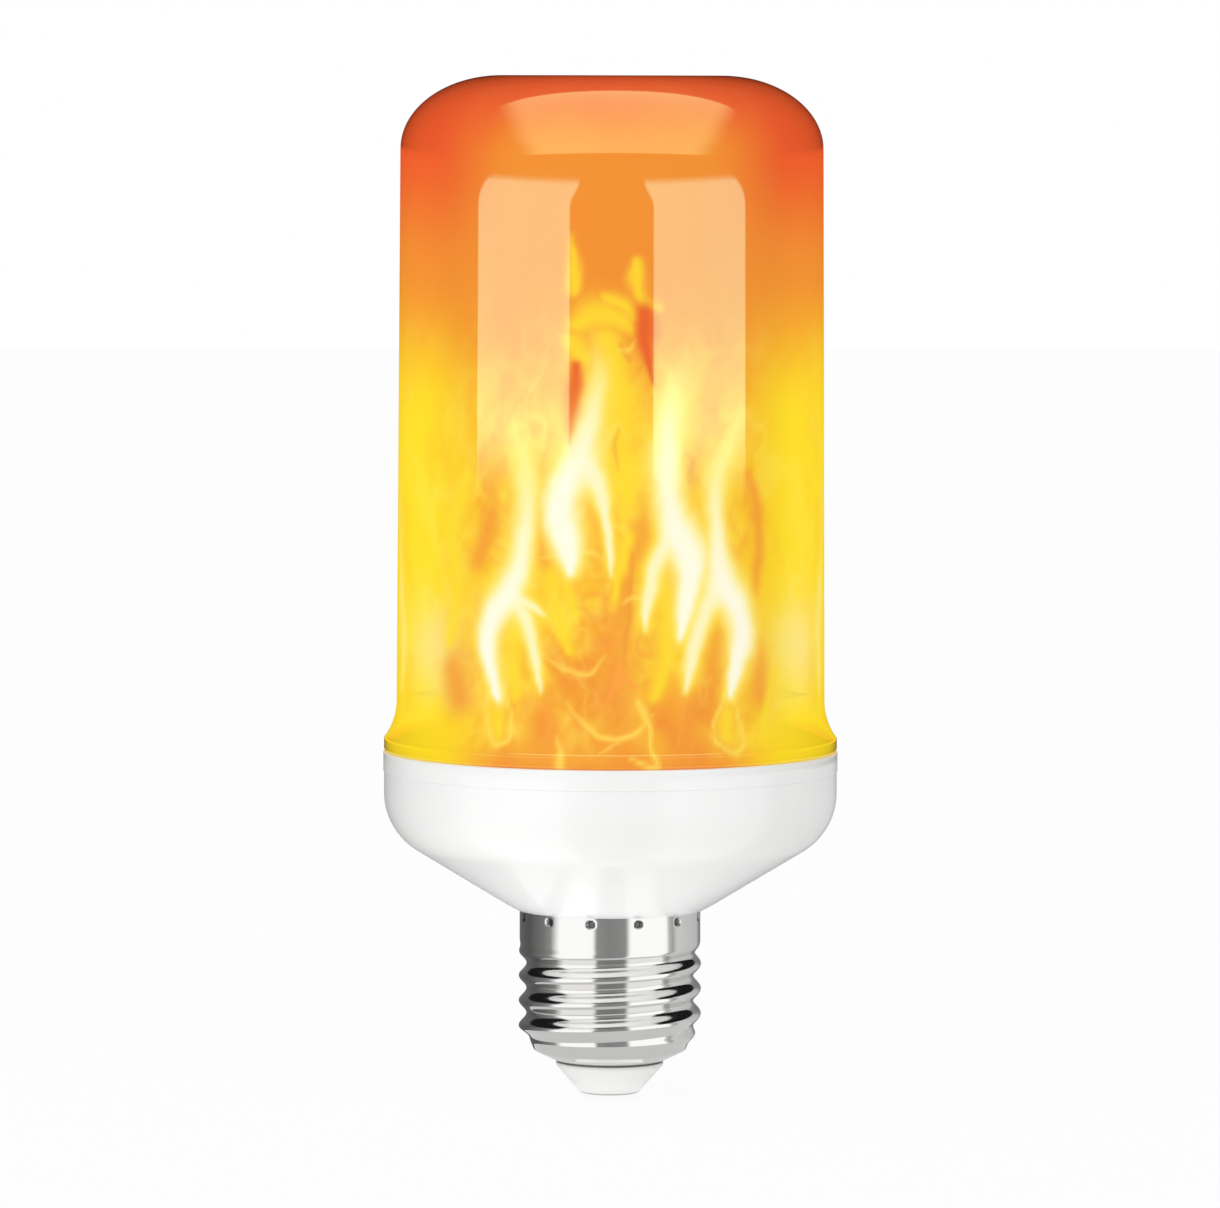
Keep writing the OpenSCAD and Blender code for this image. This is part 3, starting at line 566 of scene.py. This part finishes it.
def thread_r(z, a):
    up = z - LIP_Z
    wave = np.cos(2 * np.pi * (up - 3.34) / PITCH - a)
    base = np.interp(up, [CONE_RISE, CONE_RISE + 1.2, CONE_RISE + 3.2], [CONE_R, CONE_R + 0.45, ROOT])
    grown = base + DEPTH * (0.5 + 0.5 * wave) * fade((up - 2.4) / 2.4)
    out = fade((z - COLLAR_Z + 2.8) / 2.7)
    return grown * (1 - out) + (COLLAR_R - 0.02) * out


def collar_ring(z, ang):
    """Radius round the collar at a height, dented where the ball of a punch mark cuts it."""
    r = np.full(len(ang), COLLAR_R - 0.01)
    ball = COLLAR_R - MARK_DEPTH + MARK_R
    for k in range(MARKS):
        off = (ang - math.radians(MARK_PHASE + 360 / MARKS * k) + np.pi) % (2 * np.pi) - np.pi
        d2 = (off * COLLAR_R) ** 2 + (z - COLLAR_Z - MARK_UP) ** 2
        r = np.minimum(r, ball - np.sqrt(np.clip(MARK_R**2 - d2, (MARK_R - MARK_DEPTH) ** 2, None)))
    return r


def make_shell():
    n = 360
    ang = np.arange(n) * 2 * np.pi / n

    def ring(r, z):
        return np.stack([r * np.cos(ang), r * np.sin(ang), np.full(n, z)], -1)

    flat = np.ones(n)
    lip = [(HOLE_R, 0.17), (HOLE_R + 0.05, 0.05), (HOLE_R + 0.15, 0.05)]
    lip += line((HOLE_R + 0.15, 0.07), (CONE_R - 0.15, CONE_RISE - 0.1), 6) + [(CONE_R, CONE_RISE + 0.08)]
    rings = [ring(r * flat, LIP_Z + up) for r, up in lip + [(CONE_R + 0.1, CONE_RISE + 0.3)]]
    rolled = np.linspace(LIP_Z + 2.45, COLLAR_Z - 0.1, 118)
    for z in rolled:
        rings.append(ring(thread_r(np.full(n, z), ang), z))
    for z in np.linspace(COLLAR_Z + 0.1, SHELL_TOP, 36):
        rings.append(ring(collar_ring(z, ang), z))
    for z in np.linspace(SHELL_TOP, COLLAR_Z + 0.1, 10):
        rings.append(ring((COLLAR_R - WALL) * flat, z))
    for z in rolled[::-3]:
        rings.append(ring(thread_r(np.full(n, z), ang) - WALL, z))
    rings += [ring((CONE_R - 0.27) * flat, LIP_Z + CONE_RISE + 0.23), ring(HOLE_R * flat, LIP_Z + 0.37)]
    rings.append(rings[0])
    pts, faces = ring_grid(rings)
    mat = material("nickel", NICKEL, rough=0.11, metal=1.0)
    attribute_colour(mat, "plating_and_mark_shade", "Base Color")
    shell = mesh_object("cap_shell", pts * MM, faces, mat, crease=50)
    dented = np.hypot(pts[:, 0], pts[:, 1]) < COLLAR_R - 0.07
    in_row = np.abs(pts[:, 2] - COLLAR_Z - MARK_UP) < MARK_R
    # Painted shade: the nickel's base colour is darkened inside the punch marks' dents
    plating_and_mark_shade = np.where((dented & in_row)[:, None], MARK_SHADE, 1.0) * np.array(NICKEL)
    attr = shell.data.color_attributes.new("plating_and_mark_shade", "FLOAT_COLOR", "POINT")
    attr.data.foreach_set("color", np.concatenate([plating_and_mark_shade, np.ones((len(plating_and_mark_shade), 1))], 1).ravel())
    own(shell, "screw_shell")


def make_foot():
    stand, foot_r, top_r, neck_r, flange_r, pin = 0.35, 4.4, 7.75, 7.3, 10.4, 0.96
    cone_top = LIP_Z - SEAT
    under = LIP_Z + 0.4
    flange = under + 1.5
    mat = material("insulator", (0.52, 0.525, 0.515), rough=0.35, coat=0.3)
    ins = [(pin, 0.7), (CONTACT_R + FIT, 0.7), (CONTACT_R + FIT, stand), (foot_r - 0.4, stand)]
    ins += [(foot_r - 0.13, stand + 0.07), (foot_r + 0.02, stand + 0.27)]
    ins += line((foot_r + 0.02, stand + 0.27), (top_r - 0.12, cone_top - 0.6), 6)
    ins += [(top_r, cone_top - 0.4), (top_r, cone_top - 0.1), (top_r - 0.09, cone_top), (neck_r, cone_top)]
    ins += [(neck_r, under), (flange_r, flange + 0.02), (flange_r, flange + 1.22)]
    ins += [(flange_r - 0.3, flange + 1.52), (3, flange + 1.52)]
    ins += [(2.6, CONTACT_TOP - 0.8), (pin, CONTACT_TOP - 0.8)]
    own(lathe("cap_foot", ins, 128, mat, crease=35), "cap_insulator")

    mat = material("contact", (0.74, 0.735, 0.72), rough=0.2, metal=1.0)
    r = CONTACT_R
    con = [(0, 0), (r - 0.7, 0), (r - 0.25, 0.1), (r - 0.06, 0.25), (r, 0.42), (r - 0.03, 0.57)]
    con += [(r - 0.12, 0.65), (0.9, 0.65), (0.9, CONTACT_TOP - 0.2), (0.7, CONTACT_TOP), (0, CONTACT_TOP)]
    own(lathe("contact_button", con, 64, mat, crease=35), "centre_contact")


make_shell()
make_foot()

# The pieces inside keep their solids and get materials
INNER = {
    "white_plastic": dict(color=(0.82, 0.82, 0.8), rough=0.5),
    "screw_steel": dict(color=(0.62, 0.63, 0.64), rough=0.3, metal=1.0),
    "board_white": dict(color=(0.82, 0.82, 0.77), rough=0.35),
    "led_package": dict(color=(0.95, 0.6, 0.08), rough=0.3, coat=0.6, emit=(1.0, 0.5, 0.08), strength=0.6),
    "board_green": dict(color=(0.02, 0.12, 0.05), rough=0.35, coat=0.4),
    "capacitor_sleeve": dict(color=(0.02, 0.025, 0.04), rough=0.3),
    "ferrite": dict(color=(0.03, 0.03, 0.028), rough=0.8),
    "copper": dict(color=(0.6, 0.2, 0.07), rough=0.3, metal=1.0),
    "resistor_body": dict(color=(0.07, 0.17, 0.12), rough=0.4),
    "package_plastic": dict(color=(0.015, 0.015, 0.017), rough=0.5),
    "lead_red": dict(color=(0.45, 0.01, 0.01), rough=0.4),
    "lead_black": dict(color=(0.01, 0.01, 0.01), rough=0.4),
}
made = {}
for part in frame["record"]["subparts"]:
    slot = part["material_slot"]
    if slot in INNER:
        if slot not in made:
            made[slot] = material(slot, **INNER[slot])
        o = bpy.data.objects.get(part["node"])
        if o:
            o.data.materials.clear()
            o.data.materials.append(made[slot])

# The stage: panels that only show in reflections, the floor, the world, lamps and camera
scene = bpy.context.scene
WINDOW_TOP = 132.2
WINDOW_LIGHT, CURTAIN_LIGHT, BACK_LIGHT, DARK = 3.6, 2.4, 0.85, 0.01


def glow_material(name, strength):
    """Light of a panel: its strength times the grey painted on its mesh."""
    m = bpy.data.materials.new(name)
    m.use_nodes = True
    t = m.node_tree
    t.nodes.clear()
    a = t.nodes.new("ShaderNodeAttribute")
    a.attribute_name = "level"
    e = t.nodes.new("ShaderNodeEmission")
    out = t.nodes.new("ShaderNodeOutputMaterial")
    e.inputs["Strength"].default_value = strength
    t.links.new(a.outputs["Color"], e.inputs["Color"])
    t.links.new(e.outputs["Emission"], out.inputs["Surface"])
    return m


def reflector(name, grid, light, strength=1.0):
    """A panel seen only in reflections: a grid of points, and at each a level of light or a colour."""
    rows, columns = light.shape[:2]
    pts = grid.reshape(-1, 3) * MM
    faces = [
        (i * columns + j, i * columns + j + 1, (i + 1) * columns + j + 1, (i + 1) * columns + j)
        for i in range(rows - 1)
        for j in range(columns - 1)
    ]
    me = bpy.data.meshes.new(name)
    me.from_pydata([tuple(p) for p in pts], [], faces)
    a = me.color_attributes.new("level", "FLOAT_COLOR", "POINT")
    rgba = np.ones((rows * columns, 4))
    rgba[:, :3] = light.reshape(rows * columns, -1)
    a.data.foreach_set("color", rgba.ravel())
    o = bpy.data.objects.new(name, me)
    scene.collection.objects.link(o)
    me.materials.append(glow_material(name, strength))
    o.visible_camera = o.visible_diffuse = o.visible_transmission = False
    o.visible_volume_scatter = o.visible_shadow = False
    return o


def round_wall(radius, azimuths, heights):
    """Grid on an upright cylinder; azimuth 0 is the camera's side, in degrees."""
    a, z = np.meshgrid(np.radians(azimuths), heights)
    return np.stack([radius * np.sin(a), -radius * np.cos(a), z], -1)


def cone(azimuth, radius, height):
    """Grid of points at azimuths in degrees, radii and heights."""
    a = np.radians(azimuth)
    return np.stack([radius * np.sin(a), -radius * np.cos(a), np.broadcast_to(height, a.shape)], -1)


# Upper wall, seen by the cover: two windows in front, and behind it the colours of the cover's glow
az = np.linspace(-180, 180, 1081)
hz = np.linspace(-1, 420, 600)
A, Z = np.meshgrid(az, hz)
B = np.abs(A)
inside = 21.2 - 5 * fade((Z - 127) / 5)
window = fade((B - inside) / 1.0) * fade((75 - B) / 1.2) * fade((WINDOW_TOP - Z) / 0.8) * fade((Z - 70) / 16)
corner_round = np.hypot(np.clip((B - 62) / 12.5, 0, None), np.clip((Z - WINDOW_TOP + 6.5) / 6.5, 0, None))
window *= fade((1.03 - corner_round) / 0.06)
behind = fade((B - 88) / 30) * fade((140 - Z) / 8)
back = lin(side_colour(0.735 * Z + 38)).reshape(Z.shape + (3,)) * behind[..., None]
wall = 0.004 + WINDOW_LIGHT * window[..., None] * np.array([0.35, 1.0, 0.7]) + BACK_LIGHT * back
reflector("wall_upper", round_wall(400, az, hz), wall)

# Shield over the flare, which keeps the windows' light off it
A, T = np.meshgrid(np.linspace(-78, 78, 53), np.array([0.0, 1.0]))
reflector("shield", cone(A, 34 + 41 * T, COVER_Z + FLARE_H + 1.3), np.full(A.shape, DARK))

# Curtain overhead, seen by the shoulder
climb_share, lat = np.linspace(0, 1, 160), np.linspace(-1, 1, 80)
T, L = np.meshgrid(climb_share, lat, indexing="ij")
lowest = 0.4 - 1.4 * L**2
deg = lowest + (122 - lowest) * T
E = np.radians(deg)
W = np.radians(np.interp(deg, [0, 25, 50, 70, 90, 105, 124], [54, 58, 56, 51, 45, 38, 30]))
band = fade((1 - np.abs(L)) / 0.3) * fade((120 - 13 * L**2 - deg) / 3)
D = np.stack([np.sin(L * W + 0.05), -np.cos(L * W + 0.05) * np.cos(E), np.cos(L * W + 0.05) * np.sin(E)], -1)
curtain = 0.004 + CURTAIN_LIGHT * band[..., None] * np.array([0.6, 1.0, 0.45])
reflector("curtain", D * 380 + np.array([0, 0, 140.0]), curtain)

# Dark dome behind them
az = np.linspace(-180, 180, 73)
el = np.radians(np.linspace(-3, 90, 32))
A, E = np.meshgrid(np.radians(az), el)
D = np.stack([np.sin(A) * np.cos(E), -np.cos(A) * np.cos(E), np.sin(E)], -1)
reflector("dome", D * 1500, np.full(A.shape, 0.02))

# Skirt round the cap and roof over it, seen by the screw shell and the housing: azimuths and their levels
SKIRT = [
    (-180, 0.5), (-150, 0.14), (-112, 0.1), (-84, 0.2), (-72, 0.3), (-60, 1.2), (-19, 1.2),
    (-15, 0.30), (0, 0.26), (18, 0.30), (23, 1.2), (68, 1.2), (72, 0.55), (78, 0.4),
    (84, 0.7), (132, 0.55), (140, 0.3), (150, 0.2), (180, 0.5),
]
ROOF = [
    (-180, 0.01), (-70, 0.01), (-62, 0.9), (-26, 0.9), (-20, 0.22), (0, 0.16), (18, 0.22),
    (24, 0.9), (58, 0.9), (66, 0.01), (180, 0.01),
]
A, T = np.meshgrid(np.linspace(-180, 180, 721), np.linspace(0, 1, 12))
reflector("skirt", cone(A, 26 + 69 * T, 0.6 + 48 * T), np.interp(A, *zip(*SKIRT)))
roof = cone(A, HOUSING_R + 0.8 + (94.5 - HOUSING_R) * T, RIM_Z - 1.4)
reflector("roof", roof, np.interp(A, *zip(*ROOF)))
reflector("roof_top", roof + np.array([0, 0, 0.2]), np.full(A.shape, DARK))
reflector("disc", cone(A, 6 + 20 * T, 0.2), np.full(A.shape, 0.66))


def seen_share(tree):
    """Socket that is 1 for camera, glossy and transmission rays, and 0 for the rays that light things."""
    path = tree.nodes.new("ShaderNodeLightPath")
    value = path.outputs["Is Camera Ray"]
    for kind in ("Is Glossy Ray", "Is Transmission Ray"):
        node = tree.nodes.new("ShaderNodeMath")
        node.operation = "MAXIMUM"
        tree.links.new(value, node.inputs[0])
        tree.links.new(path.outputs[kind], node.inputs[1])
        value = node.outputs[0]
    return value


def make_floor():
    """A white floor that looks as bright as the background and keeps the lamp's shadow."""
    mesh = bpy.data.meshes.new("floor")
    corners = [(-FLOOR, -FLOOR), (FLOOR, -FLOOR), (FLOOR, FLOOR), (-FLOOR, FLOOR)]
    mesh.from_pydata([(x, y, FLOOR_Z) for x, y in corners], [], [(0, 1, 2, 3)])
    floor = bpy.data.objects.new("floor", mesh)
    scene.collection.objects.link(floor)
    mat = bpy.data.materials.new("floor")
    mat.use_nodes = True
    t = mat.node_tree
    t.nodes.clear()
    diffuse = t.nodes.new("ShaderNodeBsdfDiffuse")
    diffuse.inputs["Color"].default_value = (0.9, 0.9, 0.9, 1)
    white = t.nodes.new("ShaderNodeEmission")
    share = t.nodes.new("ShaderNodeMath")
    share.operation = "MULTIPLY"
    share.inputs[1].default_value = FLOOR_WHITE
    mixer = t.nodes.new("ShaderNodeMixShader")
    surface = t.nodes.new("ShaderNodeOutputMaterial")
    t.links.new(seen_share(t), share.inputs[0])
    t.links.new(share.outputs[0], mixer.inputs["Fac"])
    t.links.new(diffuse.outputs[0], mixer.inputs[1])
    t.links.new(white.outputs[0], mixer.inputs[2])
    t.links.new(mixer.outputs[0], surface.inputs["Surface"])
    mesh.materials.append(mat)


def make_world():
    """White to the eye, and a little dimmer as light."""
    world = bpy.data.worlds.new("world")
    scene.world = world
    world.use_nodes = True
    t = world.node_tree
    t.nodes.clear()
    level = t.nodes.new("ShaderNodeMapRange")
    level.inputs["To Min"].default_value = WORLD_LIGHT
    level.inputs["To Max"].default_value = 1.0
    background = t.nodes.new("ShaderNodeBackground")
    background.inputs["Color"].default_value = (1, 1, 1, 1)
    surface = t.nodes.new("ShaderNodeOutputWorld")
    t.links.new(seen_share(t), level.inputs["Value"])
    t.links.new(level.outputs["Result"], background.inputs["Strength"])
    t.links.new(background.outputs[0], surface.inputs["Surface"])


# Half the floor's width and its height in metres, how much of it is plain white, and the world's light
FLOOR, FLOOR_Z, FLOOR_WHITE, WORLD_LIGHT = 3, -0.0002, 0.92, 0.86
make_floor()
make_world()


def lamp(name, place, size, power, target=(0, 0, 0.05)):
    data = bpy.data.lights.new(name, "AREA")
    data.size = size
    data.energy = power
    o = bpy.data.objects.new(name, data)
    scene.collection.objects.link(o)
    o.location = place
    o.rotation_mode = "QUATERNION"
    o.rotation_quaternion = (Vector(target) - Vector(place)).to_track_quat("-Z", "Y")
    o.visible_glossy = o.visible_camera = False
    return o


lamp("key", (-0.35, -1.25, 0.35), 0.7, 0.7)
lamp("fill", (0.75, -0.9, 0.25), 0.6, 0.8)
lamp("low", (-0.45, -0.7, 0.03), 0.5, 2.6)
under = lamp("under", (-0.012, 0, 0.0006), 0.08, 0.016, (-0.012, 0, 0.05))
under.data.shape = "DISK"

def make_camera():
    cam = bpy.data.cameras.new("camera")
    cam.sensor_width = 36
    cam.lens = 36 * FOCAL / PICTURE_W
    cam.clip_start, cam.clip_end = 0.01, 20
    camera = bpy.data.objects.new("camera", cam)
    scene.collection.objects.link(camera)
    camera.location = (0, -CAM_D * MM, CAM_Z * MM)
    camera.rotation_mode = "QUATERNION"
    aim = Vector((0, CAM_D, AIM_Z - CAM_Z)).to_track_quat("-Z", "Y")
    camera.rotation_quaternion = aim @ Quaternion((0, 0, 1), LEAN)
    cam.shift_x, cam.shift_y = (PICTURE_W / 2 - AXIS_X) / PICTURE_W, (AIM_Y - PICTURE_H / 2) / PICTURE_W
    scene.camera = camera


make_camera()
scene.view_settings.view_transform = "Standard"
